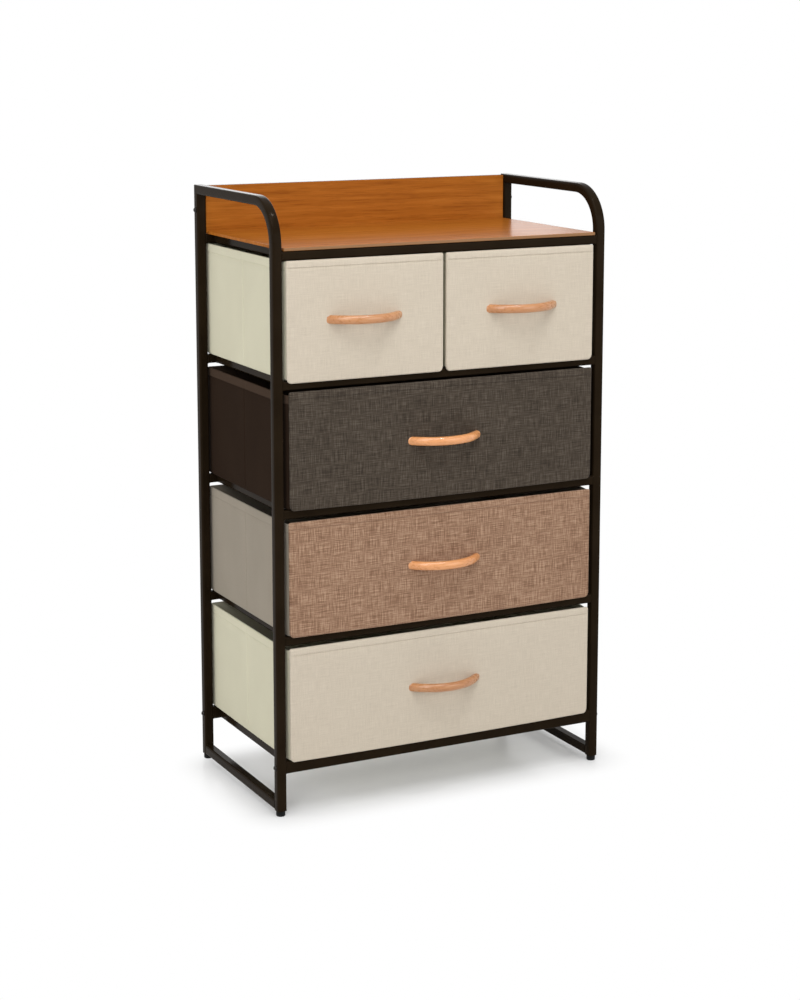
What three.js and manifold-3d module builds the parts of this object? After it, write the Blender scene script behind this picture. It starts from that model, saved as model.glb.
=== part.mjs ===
// Drawer tower: a steel tube frame with a wooden shelf on top and five fabric drawers in four tiers.
// Millimetres, +Z up, the drawer fronts face -Y, the feet stand on Z = 0.
import * as THREE from "three";
import { mergeVertices } from "three/addons/utils/BufferGeometryUtils.js";
import Module from "manifold-3d";

const wasm = await Module();
wasm.setup();

// Frame, outside the tubes
const FRAME_WIDTH = 606;
const FRAME_DEPTH = 328;

// Square tube of the two side frames
const POST = 16;
const POST_CORNER = 3;
const GUARD_BEND = 75;
const BEND_STEPS = 12;
const CORNER_STEPS = 3;

// Tube of the level frames; the lowest level uses a taller one
const RAIL = 15;
const BASE_RAIL = 21;
const RAIL_CORNER = 2.5;
const RAIL_SETBACK = 1;
const DEPTH_RAIL_INSET = 30;
const BASE_LEVEL = 92;
const GUARD_RISE = 83;

// Small gap that two touching pieces keep
const SEAT = 0.2;
const JOINT_GAP = 0.15;

// Feet under the side frames
const FOOT_HEIGHT = 9;
const FOOT_RADIUS = 7.5;
const FOOT_TOE_RADIUS = 6.5;
const FOOT_TOE_HEIGHT = 1.5;
const ROUND_SIDES = 24;

// Bolts through the side frames
const BOLT_HEAD_RADIUS = 4.5;
const BOLT_HEAD_HEIGHT = 3;
const BOLT_EDGE_HEIGHT = 1.2;
const BOLT_SOCKET_RADIUS = 2;
const BOLT_SOCKET_DEPTH = 1.2;
const BOLT_SIDES = 20;

// Wooden shelf and backboard
const SHELF_THICKNESS = 5;
const SHELF_SIDE_GAP = 3;
const SHELF_FRONT_SETBACK = 0.5;
const SHELF_CORNER = 2;
const BOARD_EDGE = 0.8;
const BACKBOARD_THICKNESS = 9;
const BACKBOARD_SETBACK = 3;
const BACKBOARD_SIDE_GAP = 0.8;
const BACKBOARD_TOP_GAP = 1.5;

// Fabric drawers
const DRAWER_SIDE_GAP = 3.2;
const DRAWER_REAR_GAP = 0.5;
const DRAWER_HEIGHT = 188;
const DRAWER_HEADROOM = 4;
const TOP_HEADROOM = 1;
const DRAWER_WALL = 3;
const DRAWER_BOTTOM = 3;
const DRAWER_CORNER = 4.5;
const DRAWER_EDGE = 4;
const DRAWER_EDGE_SHARE = 4;
const SMALL_DRAWER_GAP = 5;

// Cloth-covered front panel of each drawer
const PANEL_SIDE_GAP = 9;
const PANEL_DROP = 2;
const PANEL_RISE = 1;
const PANEL_THICKNESS = 5.5;
const PANEL_CORNER = 6;
const PANEL_EDGE = 2.5;
const SMALL_PANEL_GAP = 3.5;

// Board that stiffens each drawer's bottom
const BASE_BOARD = 2.5;
const BASE_BOARD_GAP = 1;

// Bow handles
const HANDLE_SPAN = 116;
const HANDLE_REACH = 25;
const HANDLE_TALL = 13.5;
const HANDLE_DEEP = 11.5;
const HANDLE_SIDES = 16;
const HANDLE_STEPS = 20;

// Rounding of points that belong together, and how far a cutting block outruns what it cuts
const MERGE_DISTANCE = 0.0001;
const OVERRUN = 40;

// Places that follow from the sizes
const HALF_WIDTH = FRAME_WIDTH / 2;
const HALF_DEPTH = FRAME_DEPTH / 2;
const TIER_PITCH = RAIL + DRAWER_HEIGHT + DRAWER_HEADROOM;
const TIER_LEVELS = [3, 2, 1].map((tier) => BASE_LEVEL + TIER_PITCH * tier);
const SHELF_LEVEL = TIER_LEVELS[0] + DRAWER_HEIGHT + TOP_HEADROOM + RAIL;
const FRAME_HEIGHT = SHELF_LEVEL + GUARD_RISE;
const BACKBOARD_FRONT = HALF_DEPTH - POST + BACKBOARD_SETBACK;
const BACKBOARD_BOTTOM = SHELF_LEVEL + SEAT;
const BACKBOARD_HEIGHT = FRAME_HEIGHT - BACKBOARD_TOP_GAP - BACKBOARD_BOTTOM;
const PANEL_HEIGHT = PANEL_DROP + DRAWER_HEIGHT + PANEL_RISE;
const FRONT_REACH = PANEL_THICKNESS + SEAT + HANDLE_REACH + HANDLE_DEEP / 2;
const CENTRE_SHIFT = FRONT_REACH / 2;

const tower = new THREE.Group();
tower.name = "drawer_tower";

const finish = (color, roughness, metalness = 0) =>
  new THREE.MeshStandardMaterial({ color, roughness, metalness });
const looks = {
  tube: () => finish(0x1f1a17, 0.42, 0.3),
  bolt: () => finish(0x15130f, 0.38, 0.6),
  foot: () => finish(0x121211, 0.7),
  board: () => finish(0xb4642c, 0.45),
  cream: () => finish(0xcfc4b2, 0.9),
  charcoal: () => finish(0x413a35, 0.92),
  tweed: () => finish(0x93745f, 0.92),
  stiffener: () => finish(0x8a7a66, 0.85),
  handle: () => finish(0xe2a070, 0.4),
};

// Merged, indexed copy with positions only, which a solid needs.
function bare(geometry) {
  const copy = geometry.clone();
  copy.deleteAttribute("normal");
  copy.deleteAttribute("uv");
  return mergeVertices(copy, MERGE_DISTANCE);
}

function toSolid(geometry) {
  const merged = bare(geometry);
  return new wasm.Manifold(
    new wasm.Mesh({
      numProp: 3,
      vertProperties: Float32Array.from(merged.attributes.position.array),
      triVerts: Uint32Array.from(merged.index.array),
    }),
  );
}

function toGeometry(solid) {
  const mesh = solid.getMesh();
  const geometry = new THREE.BufferGeometry();
  geometry.setAttribute("position", new THREE.BufferAttribute(mesh.vertProperties, 3));
  geometry.setIndex(new THREE.BufferAttribute(mesh.triVerts, 1));
  geometry.computeVertexNormals();
  return geometry;
}

const cut = (geometry, tool) => toGeometry(toSolid(geometry).subtract(toSolid(tool)));

function add(name, geometry, look, x = 0, y = 0, z = 0) {
  const mesh = new THREE.Mesh(geometry, looks[look]());
  mesh.name = name;
  mesh.position.set(x, y, z);
  tower.add(mesh);
  return mesh;
}

function roundedRectangle(width, height, radius, steps = CORNER_STEPS) {
  const outline = [];
  const corners = [
    [width / 2 - radius, height / 2 - radius],
    [-width / 2 + radius, height / 2 - radius],
    [-width / 2 + radius, -height / 2 + radius],
    [width / 2 - radius, -height / 2 + radius],
  ];
  corners.forEach(([cx, cy], quarter) => {
    for (let step = 0; step <= steps; step += 1) {
      const angle = (quarter + step / steps) * (Math.PI / 2);
      outline.push(new THREE.Vector2(cx + radius * Math.cos(angle), cy + radius * Math.sin(angle)));
    }
  });
  return new THREE.Shape(outline);
}

// Straight tube of the given section, centred on the origin and running along X, Y or Z.
function straightTube(sectionA, sectionB, radius, length, axis) {
  const section = roundedRectangle(sectionA, sectionB, radius);
  const tube = new THREE.ExtrudeGeometry(section, { depth: length, bevelEnabled: false });
  tube.translate(0, 0, -length / 2);
  if (axis === "x") tube.rotateY(Math.PI / 2);
  if (axis === "y") tube.rotateX(-Math.PI / 2);
  return tube;
}

// Flat board lying in X and Y with softened edges, from z = 0 up.
function board(width, depth, thickness, corner, edge) {
  const outline = roundedRectangle(width, depth, corner);
  const slab = new THREE.ExtrudeGeometry(outline, {
    depth: thickness - edge * 2,
    bevelEnabled: true,
    bevelThickness: edge,
    bevelSize: edge,
    bevelOffset: -edge,
    bevelSegments: 2,
  });
  slab.translate(0, 0, edge);
  return slab;
}

// Path through given stations, so that a bend gets its steps exactly where it bends.
class StationPath extends THREE.Curve {
  constructor(points, tangents) {
    super();
    this.points = points;
    this.tangents = tangents;
  }
  getPoint(share) {
    return this.points[Math.round(share * (this.points.length - 1))].clone();
  }
  getPointAt(share) {
    return this.getPoint(share);
  }
  getTangent(share) {
    return this.tangents[Math.round(share * (this.tangents.length - 1))].clone();
  }
  getTangentAt(share) {
    return this.getTangent(share);
  }
}

function alongPath(section, path) {
  return new THREE.ExtrudeGeometry(section, {
    steps: path.points.length - 1,
    extrudePath: path,
    bevelEnabled: false,
  });
}

// Block that cuts the mitre between a rear post and its guard rail.
function mitreBlock(sign) {
  const size = POST + OVERRUN * 2;
  const block = new THREE.BoxGeometry(size, size, size);
  block.translate(0, 0, (sign * size) / 2);
  block.rotateX(Math.PI / 4);
  block.translate(0, HALF_DEPTH, FRAME_HEIGHT - sign * JOINT_GAP);
  return block;
}

// Rear post of a side frame, mitred at its top.
function rearPost() {
  const length = FRAME_HEIGHT - FOOT_HEIGHT;
  const post = straightTube(POST, POST, POST_CORNER, length, "z");
  post.translate(0, HALF_DEPTH - POST / 2, FOOT_HEIGHT + length / 2);
  return cut(post, mitreBlock(1));
}

// Guard rail, bend and front post of a side frame, bent from one tube and mitred at its rear end.
function guardPost() {
  const railZ = FRAME_HEIGHT - POST / 2;
  const postY = -HALF_DEPTH + POST / 2;
  const bend = GUARD_BEND - POST / 2;
  const points = [new THREE.Vector3(0, HALF_DEPTH, railZ)];
  const tangents = [new THREE.Vector3(0, -1, 0)];
  for (let step = 0; step <= BEND_STEPS; step += 1) {
    const angle = (step / BEND_STEPS) * (Math.PI / 2);
    const y = postY + bend - bend * Math.sin(angle);
    const z = railZ - bend + bend * Math.cos(angle);
    points.push(new THREE.Vector3(0, y, z));
    tangents.push(new THREE.Vector3(0, -Math.cos(angle), -Math.sin(angle)));
  }
  points.push(new THREE.Vector3(0, postY, FOOT_HEIGHT));
  tangents.push(new THREE.Vector3(0, 0, -1));
  const section = roundedRectangle(POST, POST, POST_CORNER);
  const tube = alongPath(section, new StationPath(points, tangents));
  return cut(tube, mitreBlock(-1));
}

function foot() {
  const height = FOOT_HEIGHT - SEAT;
  const profile = [
    new THREE.Vector2(0, 0),
    new THREE.Vector2(FOOT_TOE_RADIUS, 0),
    new THREE.Vector2(FOOT_RADIUS, FOOT_TOE_HEIGHT),
    new THREE.Vector2(FOOT_RADIUS, height),
    new THREE.Vector2(0, height),
  ];
  const turned = new THREE.LatheGeometry(profile, ROUND_SIDES);
  turned.rotateX(Math.PI / 2);
  return turned;
}

// Domed socket head; its flat side is at x = 0 and it stands out along +X.
function boltHead() {
  const shoulder = BOLT_HEAD_RADIUS - BOLT_EDGE_HEIGHT;
  const profile = [
    new THREE.Vector2(0, 0),
    new THREE.Vector2(BOLT_HEAD_RADIUS, 0),
    new THREE.Vector2(BOLT_HEAD_RADIUS, BOLT_EDGE_HEIGHT),
    new THREE.Vector2(shoulder, BOLT_HEAD_HEIGHT),
    new THREE.Vector2(BOLT_SOCKET_RADIUS, BOLT_HEAD_HEIGHT),
    new THREE.Vector2(BOLT_SOCKET_RADIUS, BOLT_HEAD_HEIGHT - BOLT_SOCKET_DEPTH),
    new THREE.Vector2(0, BOLT_HEAD_HEIGHT - BOLT_SOCKET_DEPTH),
  ];
  const turned = new THREE.LatheGeometry(profile, BOLT_SIDES);
  turned.rotateZ(-Math.PI / 2);
  return turned;
}

function addSideFrame(side, sign) {
  const x = sign * (HALF_WIDTH - POST / 2);
  add(`${side}_rear_post`, rearPost(), "tube", x);
  add(`${side}_guard_post`, guardPost(), "tube", x);
  const sledLength = FRAME_DEPTH - POST * 2 - JOINT_GAP * 2;
  const sled = straightTube(POST, POST, POST_CORNER, sledLength, "y");
  add(`${side}_floor_rail`, sled, "tube", x, 0, FOOT_HEIGHT + POST / 2);
  add(`${side}_front_foot`, foot(), "foot", x, -HALF_DEPTH + POST / 2, 0);
  add(`${side}_rear_foot`, foot(), "foot", x, HALF_DEPTH - POST / 2, 0);
}

function addBolt(name, sign, y, z) {
  const bolt = boltHead();
  if (sign < 0) bolt.rotateZ(Math.PI);
  add(name, bolt, "bolt", sign * (HALF_WIDTH + SEAT), y, z);
}

function addBolts(side, sign) {
  const y = HALF_DEPTH - POST / 2;
  const baseZ = BASE_LEVEL - BASE_RAIL / 2;
  addBolt(`${side}_backboard_bolt`, sign, y, BACKBOARD_BOTTOM + BACKBOARD_HEIGHT / 2);
  addBolt(`${side}_rear_base_bolt`, sign, y, baseZ);
  addBolt(`${side}_front_base_bolt`, sign, -y, baseZ);
}

// One level: front and rear rails between the posts, and two depth rails between those.
function addLevel(name, top, tall) {
  const z = top - tall / 2;
  const crossLength = FRAME_WIDTH - POST * 2 - JOINT_GAP * 2;
  const crossY = HALF_DEPTH - RAIL_SETBACK - RAIL / 2;
  const cross = () => straightTube(tall, RAIL, RAIL_CORNER, crossLength, "x");
  add(`${name}_front_rail`, cross(), "tube", 0, -crossY, z);
  add(`${name}_rear_rail`, cross(), "tube", 0, crossY, z);
  const depthLength = crossY * 2 - RAIL - JOINT_GAP * 2;
  const depthX = HALF_WIDTH - DEPTH_RAIL_INSET - RAIL / 2;
  const run = () => straightTube(RAIL, tall, RAIL_CORNER, depthLength, "y");
  add(`${name}_left_rail`, run(), "tube", -depthX, 0, z);
  add(`${name}_right_rail`, run(), "tube", depthX, 0, z);
}

function addShelf() {
  const width = FRAME_WIDTH - (POST + SHELF_SIDE_GAP) * 2;
  const front = -HALF_DEPTH + SHELF_FRONT_SETBACK;
  const rear = BACKBOARD_FRONT - SEAT;
  const shelf = board(width, rear - front, SHELF_THICKNESS, SHELF_CORNER, BOARD_EDGE);
  add("shelf_board", shelf, "board", 0, (front + rear) / 2, SHELF_LEVEL + SEAT);
}

function addBackboard() {
  const width = FRAME_WIDTH - (POST + BACKBOARD_SIDE_GAP) * 2;
  const panel = board(width, BACKBOARD_HEIGHT, BACKBOARD_THICKNESS, SHELF_CORNER, BOARD_EDGE);
  panel.rotateX(Math.PI / 2);
  const y = BACKBOARD_FRONT + BACKBOARD_THICKNESS;
  add("backboard", panel, "board", 0, y, BACKBOARD_BOTTOM + BACKBOARD_HEIGHT / 2);
}

// Open fabric box with round corners; its outside is centred on x = 0, from z = 0 up.
function fabricBox(width, depth) {
  const outer = new THREE.ExtrudeGeometry(roundedRectangle(width, depth, DRAWER_CORNER), {
    depth: DRAWER_HEIGHT - DRAWER_EDGE,
    bevelEnabled: false,
  });
  outer.translate(0, 0, DRAWER_EDGE);
  const lower = roundedFoot(width, depth);
  const hollow = roundedRectangle(
    width - DRAWER_WALL * 2,
    depth - DRAWER_WALL * 2,
    DRAWER_CORNER - DRAWER_WALL,
  );
  const core = new THREE.ExtrudeGeometry(hollow, { depth: DRAWER_HEIGHT, bevelEnabled: false });
  core.translate(0, 0, DRAWER_BOTTOM);
  const body = toSolid(outer).add(toSolid(lower));
  return toGeometry(body.subtract(toSolid(core)));
}

// Rounded lower part of a fabric box, a little taller than its rounding.
function roundedFoot(width, depth) {
  const tall = DRAWER_EDGE * DRAWER_EDGE_SHARE;
  const shape = new THREE.ExtrudeGeometry(roundedRectangle(width, depth, DRAWER_CORNER), {
    depth: tall - DRAWER_EDGE * 2,
    bevelEnabled: true,
    bevelThickness: DRAWER_EDGE,
    bevelSize: DRAWER_EDGE,
    bevelOffset: -DRAWER_EDGE,
    bevelSegments: 2,
  });
  shape.translate(0, 0, DRAWER_EDGE);
  return shape;
}

// Cloth-covered panel standing in X and Z, its back at y = 0 and its face towards -Y.
function frontPanel(width) {
  const panel = new THREE.ExtrudeGeometry(roundedRectangle(width, PANEL_HEIGHT, PANEL_CORNER), {
    depth: PANEL_THICKNESS - PANEL_EDGE,
    bevelEnabled: true,
    bevelThickness: PANEL_EDGE,
    bevelSize: PANEL_EDGE,
    bevelOffset: -PANEL_EDGE,
    bevelSegments: 3,
  });
  panel.rotateX(Math.PI / 2);
  const back = new THREE.BoxGeometry(width + OVERRUN, OVERRUN, PANEL_HEIGHT + OVERRUN);
  back.translate(0, OVERRUN / 2, 0);
  return cut(panel, back);
}

// Bow handle: a round arch towards -Y whose two ends are cut flat at y = 0.
function bowHandle() {
  const half = HANDLE_SPAN / 2;
  const radius = (half ** 2 + HANDLE_REACH ** 2) / (HANDLE_REACH * 2);
  const sweep = Math.asin(half / radius) + HANDLE_DEEP / radius;
  const points = [];
  const tangents = [];
  for (let step = 0; step <= HANDLE_STEPS; step += 1) {
    const angle = sweep * ((step * 2) / HANDLE_STEPS - 1);
    const reach = HANDLE_REACH - radius * (1 - Math.cos(angle));
    points.push(new THREE.Vector3(radius * Math.sin(angle), -reach, 0));
    tangents.push(new THREE.Vector3(Math.cos(angle), Math.sin(angle), 0));
  }
  const rim = [];
  for (let side = 0; side < HANDLE_SIDES; side += 1) {
    const angle = (side / HANDLE_SIDES) * Math.PI * 2;
    const x = (HANDLE_TALL / 2) * Math.cos(angle);
    rim.push(new THREE.Vector2(x, (HANDLE_DEEP / 2) * Math.sin(angle)));
  }
  const bow = alongPath(new THREE.Shape(rim), new StationPath(points, tangents));
  const back = new THREE.BoxGeometry(HANDLE_SPAN + OVERRUN * 2, OVERRUN, HANDLE_TALL + OVERRUN);
  back.translate(0, OVERRUN / 2, 0);
  return cut(bow, back);
}

function addDrawer(name, left, right, panelLeft, panelRight, level, cloth) {
  const rear = HALF_DEPTH - DRAWER_REAR_GAP;
  const front = -HALF_DEPTH + SEAT;
  const bottom = level + SEAT;
  const width = right - left;
  const depth = rear - front;
  const x = (left + right) / 2;
  const y = (front + rear) / 2;
  add(`${name}_bin`, fabricBox(width, depth), cloth, x, y, bottom);

  const baseWidth = width - (DRAWER_WALL + BASE_BOARD_GAP) * 2;
  const baseDepth = depth - (DRAWER_WALL + BASE_BOARD_GAP) * 2;
  const corner = DRAWER_CORNER - DRAWER_WALL;
  const base = straightTube(baseWidth, baseDepth, corner, BASE_BOARD, "z");
  const baseZ = bottom + DRAWER_BOTTOM + SEAT + BASE_BOARD / 2;
  add(`${name}_base_board`, base, "stiffener", x, y, baseZ);

  const panelBack = front - SEAT;
  const panelZ = bottom - PANEL_DROP + PANEL_HEIGHT / 2;
  const panelX = (panelLeft + panelRight) / 2;
  add(`${name}_front`, frontPanel(panelRight - panelLeft), cloth, panelX, panelBack, panelZ);

  const handleY = panelBack - PANEL_THICKNESS - SEAT;
  add(`${name}_handle`, bowHandle(), "handle", x, handleY, panelZ);
}

function addDrawers() {
  const side = HALF_WIDTH - POST - DRAWER_SIDE_GAP;
  const panelSide = HALF_WIDTH - POST - PANEL_SIDE_GAP;
  const mid = SMALL_DRAWER_GAP / 2;
  const panelMid = SMALL_PANEL_GAP / 2;
  const [first, second, third] = TIER_LEVELS;
  addDrawer("top_left_drawer", -side, -mid, -panelSide, -panelMid, first, "cream");
  addDrawer("top_right_drawer", mid, side, panelMid, panelSide, first, "cream");
  addDrawer("charcoal_drawer", -side, side, -panelSide, panelSide, second, "charcoal");
  addDrawer("tweed_drawer", -side, side, -panelSide, panelSide, third, "tweed");
  addDrawer("bottom_drawer", -side, side, -panelSide, panelSide, BASE_LEVEL, "cream");
}

addSideFrame("left", -1);
addSideFrame("right", 1);
addLevel("shelf", SHELF_LEVEL, RAIL);
addLevel("tier_1", TIER_LEVELS[0], RAIL);
addLevel("tier_2", TIER_LEVELS[1], RAIL);
addLevel("tier_3", TIER_LEVELS[2], RAIL);
addLevel("tier_4", BASE_LEVEL, BASE_RAIL);
addBolts("left", -1);
addBolts("right", 1);
addShelf();
addBackboard();
addDrawers();

// The whole object's footprint, handles included, is centred on the origin.
tower.position.y = CENTRE_SHIFT;
tower.updateMatrixWorld(true);

export default tower;
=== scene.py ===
import math
from typing import NamedTuple

import bpy
from mathutils import Matrix, Vector, noise

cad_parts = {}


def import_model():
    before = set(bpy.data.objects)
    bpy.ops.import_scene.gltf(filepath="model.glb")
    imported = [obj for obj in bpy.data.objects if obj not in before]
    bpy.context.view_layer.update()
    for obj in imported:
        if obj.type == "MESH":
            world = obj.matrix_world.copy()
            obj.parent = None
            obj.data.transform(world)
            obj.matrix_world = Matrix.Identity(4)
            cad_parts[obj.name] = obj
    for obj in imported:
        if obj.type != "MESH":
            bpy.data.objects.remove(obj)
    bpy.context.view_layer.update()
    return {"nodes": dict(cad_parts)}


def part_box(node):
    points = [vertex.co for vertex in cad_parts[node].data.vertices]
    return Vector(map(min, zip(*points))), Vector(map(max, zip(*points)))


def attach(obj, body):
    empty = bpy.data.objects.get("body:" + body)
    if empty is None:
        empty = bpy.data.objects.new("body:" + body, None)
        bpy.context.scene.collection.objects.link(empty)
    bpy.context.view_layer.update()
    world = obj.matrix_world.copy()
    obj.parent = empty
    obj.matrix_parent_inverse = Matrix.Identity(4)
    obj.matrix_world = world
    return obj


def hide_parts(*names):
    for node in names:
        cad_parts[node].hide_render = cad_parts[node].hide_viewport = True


MM = 0.001
FRAME = "frame"


class Fit(NamedTuple):
    """How one drawer hangs in the frame: how far the bin's rim and the panel's top and foot hang
    lower, how far the panel's left and right edges and the handle sit to the left, and by how much
    the colours of the handle's wood are scaled, a share that on the charcoal and tweed drawers is
    partly a painted highlight."""

    rim_drop: float = 0
    top_drop: float = 0
    foot_drop: float = 0
    left_shift: float = 0
    right_shift: float = 0
    handle_shift: float = 0
    tone_and_highlight_share: float = 1


TOP_LEFT_FIT = Fit(
    foot_drop=2.4 * MM,
    left_shift=4.4 * MM,
    right_shift=3.7 * MM,
    handle_shift=4.4 * MM,
    tone_and_highlight_share=0.93,
)
TOP_RIGHT_FIT = Fit(foot_drop=2.4 * MM, left_shift=2.2 * MM, handle_shift=3.6 * MM, tone_and_highlight_share=0.93)
# The high colour shares of the charcoal and tweed handles are partly a painted highlight
CHARCOAL_FIT = Fit(rim_drop=4 * MM, left_shift=0.6 * MM, handle_shift=3.6 * MM, tone_and_highlight_share=1.4)
TWEED_FIT = Fit(
    rim_drop=4 * MM,
    top_drop=2.4 * MM,
    left_shift=3 * MM,
    handle_shift=2.8 * MM,
    tone_and_highlight_share=1.35,
)
BOTTOM_FIT = Fit(
    rim_drop=4.4 * MM,
    top_drop=1.8 * MM,
    left_shift=3.6 * MM,
    handle_shift=2 * MM,
    tone_and_highlight_share=0.86,
)

# Drawers: name, cloth of the front, cloth of the bin, wide or small, and how it hangs
DRAWERS = (
    ("top_left_drawer", "cream", "cream_side", False, TOP_LEFT_FIT),
    ("top_right_drawer", "cream", "cream_side", False, TOP_RIGHT_FIT),
    ("charcoal_drawer", "charcoal", "charcoal_side", True, CHARCOAL_FIT),
    ("tweed_drawer", "tweed", "taupe_side", True, TWEED_FIT),
    ("bottom_drawer", "cream", "cream_side", True, BOTTOM_FIT),
)

# Frame tubes
TUBE = 16 * MM
TUBE_CORNER = 3 * MM
TUBE_CORNER_STEPS = 5
GUARD_BEND = 75 * MM
GUARD_BEND_STEPS = 28
MITRE_GAP = 0.1 * MM
WELD_RADIUS = 1.1 * MM
WELD_SIDES = 6
WELD_STEPS = 28
WELD_SQUARENESS = 8
WELD_SINK = 0.3 * MM
WELD_RIPPLE = 0.2 * MM
WELD_RIPPLE_SCALES = (3.1, 0.9)

# Cloth bins
BIN_WALL = 3 * MM
BIN_FLOOR = 3 * MM
BIN_CORNER = 4.8 * MM
BIN_EDGE = 4.5 * MM
BIN_STEP = 9 * MM
BIN_ROUND_STEPS = 6
BIN_ROWS = 14
BIN_INNER_ROWS = 8
BIN_PILLOW = 1.2 * MM
BIN_PILLOW_POWER = 0.7
BIN_PILLOW_FOOT_FADE = 20 * MM
BIN_PILLOW_RIM_FADE = 25 * MM
BIN_WAVE = 0.45 * MM
BIN_WAVE_SCALES = (9, 14, 5.3)
INNER_BULGE = 0.6 * MM
INNER_CREASE_SHARE = 0.6
INNER_START = BIN_WALL * 0.9
INNER_SPACING_SHARE = 0.02
LEFT_DRAW = 1.5 * MM
RIGHT_DRAW = 4.5 * MM
FRONT_DRAW_DEPTH = 45 * MM
CREASE_DEPTH = 1.3 * MM
CREASE_HALF_WIDTH = 1.6 * MM
CREASE_MARGIN = 1 * MM
CREASE_FOOT_FADE = 8 * MM
CREASE_RIM_FADE = 6 * MM
CREASE_REACH_SHARE = 5
CREASE_SHARES = (-4, -2.5, -1.6, -1, -0.5, 0, 0.5, 1, 1.6, 2.5, 4)
BINDING_HEIGHT = 14 * MM
BINDING_RISE = 0.5 * MM
SEAM_CLEARANCE = 1.2 * MM
INNER_FLOOR_CLEARANCE = 4 * MM
BAND_START = 172 * MM
BAND_BLEND = 3 * MM

# Section of a bin's wall as (inset, rise) pairs: rise counts from the binding's seam, from the rim,
# from the seam again on the inside, and from the floor
SEAM_OUTSIDE = (
    (0, -1.0 * MM),
    (0.35 * MM, -0.4 * MM),
    (0.35 * MM, 0),
    (-BINDING_RISE * 0.8, 0.5 * MM),
    (-BINDING_RISE, 2 * MM),
)
RIM = (
    (-BINDING_RISE, -3 * MM),
    (-BINDING_RISE * 0.6, -1.4 * MM),
    (0.3 * MM, -0.3 * MM),
    (1.5 * MM, 0),
    (2.7 * MM, -0.3 * MM),
    (BIN_WALL + 0.3 * MM, -1.4 * MM),
)
SEAM_INSIDE = ((BIN_WALL + 0.3 * MM, 0), (BIN_WALL, -0.8 * MM))
FLOOR_INSIDE = ((BIN_WALL, 3 * MM), (BIN_WALL + 0.8 * MM, 0.8 * MM), (BIN_WALL + 3 * MM, 0))

# Cloth-covered front panels
PANEL_STEP = 8 * MM
PANEL_EDGE = 2.6 * MM
PANEL_BACK_EDGE = 1.3 * MM
PANEL_TOP_CORNER = 3 * MM
PANEL_FOOT_CORNER = 9 * MM
PANEL_CROWN = 0.6 * MM
PANEL_CROWN_FADE = 6 * MM
PANEL_WAVE = 0.3 * MM
PANEL_WAVE_SCALES = (11, 15, 7.7)
PANEL_SAG = 1.8 * MM
PANEL_SAG_HEIGHT = 40 * MM
PANEL_CROWN_POWER = 0.5
PANEL_MARK_SHARE = 0.35
PANEL_EDGE_SHARES = (0, 0.06, 0.2, 0.42, 0.7, 1.0, 1.5)
HEM_HEIGHT = 11.5 * MM
HEM_RISE = 0.7 * MM
HEM_STEP = 1.2 * MM
HEM_GROOVE = 0.6 * MM
HEM_GROOVE_DROP = 0.5 * MM
HEM_GROOVE_HALF_WIDTH = 0.7 * MM
HEM_ROWS = (-1.8 * MM, -1.1 * MM, -0.5 * MM, 0, 0.5 * MM, 1.2 * MM, 2.2 * MM)
STITCH_PITCH = 4.4 * MM
STITCH_LENGTH = 3.1 * MM
STITCH_THICK = 0.5 * MM
STITCH_MARGIN = 5 * MM
STITCH_LIFT = 1.6 * MM
STITCH_DIP = 0.25 * MM
STITCH_SIDES = 6
STITCH_PANEL_DEPTH = 1000 * MM
STITCH_SECTIONS = ((-0.5, 0.35), (-0.36, 0.9), (0, 1.0), (0.36, 0.9), (0.5, 0.35))

# Bow handles
HANDLE_STEPS = 56
HANDLE_SIDES = 26
HANDLE_SPAN = 116 * MM
HANDLE_REACH = 25 * MM
HANDLE_TALL = 14.2 * MM
HANDLE_DEEP = 12 * MM
HANDLE_SINK = 0.6 * MM
HANDLE_TAPER_SHARE = 0.02
HANDLE_TAPER_START = 0.55
HANDLE_TAPER_REACH = 0.3
HANDLE_SQUARENESS = 2.2

# Bolts, feet and handle screws
FOOT_SIDES = 40
BOLT_SIDES = 36
BOLT_RADIUS = 4.5 * MM
BOLT_HEIGHT = 3 * MM
BOLT_SINK = 0.15 * MM
DOME_STEPS = 8
DOME_EDGE_SHARE = 0.25
DOME_FOOT_SHARE = 0.97
DOME_FOOT_RISE_SHARE = 0.3
HEX_RADIUS = 2 * MM
HEX_DEPTH = 1.3 * MM
HEX_LIP = 0.15 * MM
HEX_MOUTH_SHARE = 1.15
HEX_CLEAR_SHARE = 1.25
HEX_LIMIT_SHARE = 1.01
SCREW_SIDES = 28
SCREW_RADIUS = 4 * MM
SCREW_HEIGHT = 2.2 * MM
SCREW_SINK = 0.2 * MM
CROSS_HALF_WIDTH = 0.55 * MM
CROSS_REACH = 2.4 * MM
CROSS_DEPTH = 0.9 * MM
CROSS_START_SHARE = 0.6
WASHER_RADIUS = 6.5 * MM
WASHER_HEIGHT = 0.9 * MM

# Outline of a foot as (inset, rise) pairs: rise counts from its sole, then from its top
FOOT_EDGE = ((1.4 * MM, 0), (0.6 * MM, 0.35 * MM), (0.15 * MM, 1.0 * MM), (0, 1.9 * MM))
FOOT_GROOVE = ((0, -2.6 * MM), (0.5 * MM, -2.3 * MM), (0.5 * MM, -1.9 * MM), (0, -1.6 * MM), (0, 0))

# Cloth: the woven yarns, and the ribs of the pressed cloth
YARN_PITCH = 1.15 * MM
YARN_DEPTH = 0.16 * MM
RIB_PITCH = 2.6 * MM
RIB_DEPTH = 0.12 * MM
PRESSED_ROUGHNESS = (0.77, 0.93)

# Floor: its reach, the footprint round which it fades to white, how far out, and its least glow
FLOOR_REACH = 14
FOOTPRINT_HALF_WIDTH = 280 * MM
FOOTPRINT_HALF_DEPTH = 120 * MM
FADE_END = 100 * MM
FLOOR_GLOW_SHARE = 0.2

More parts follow.
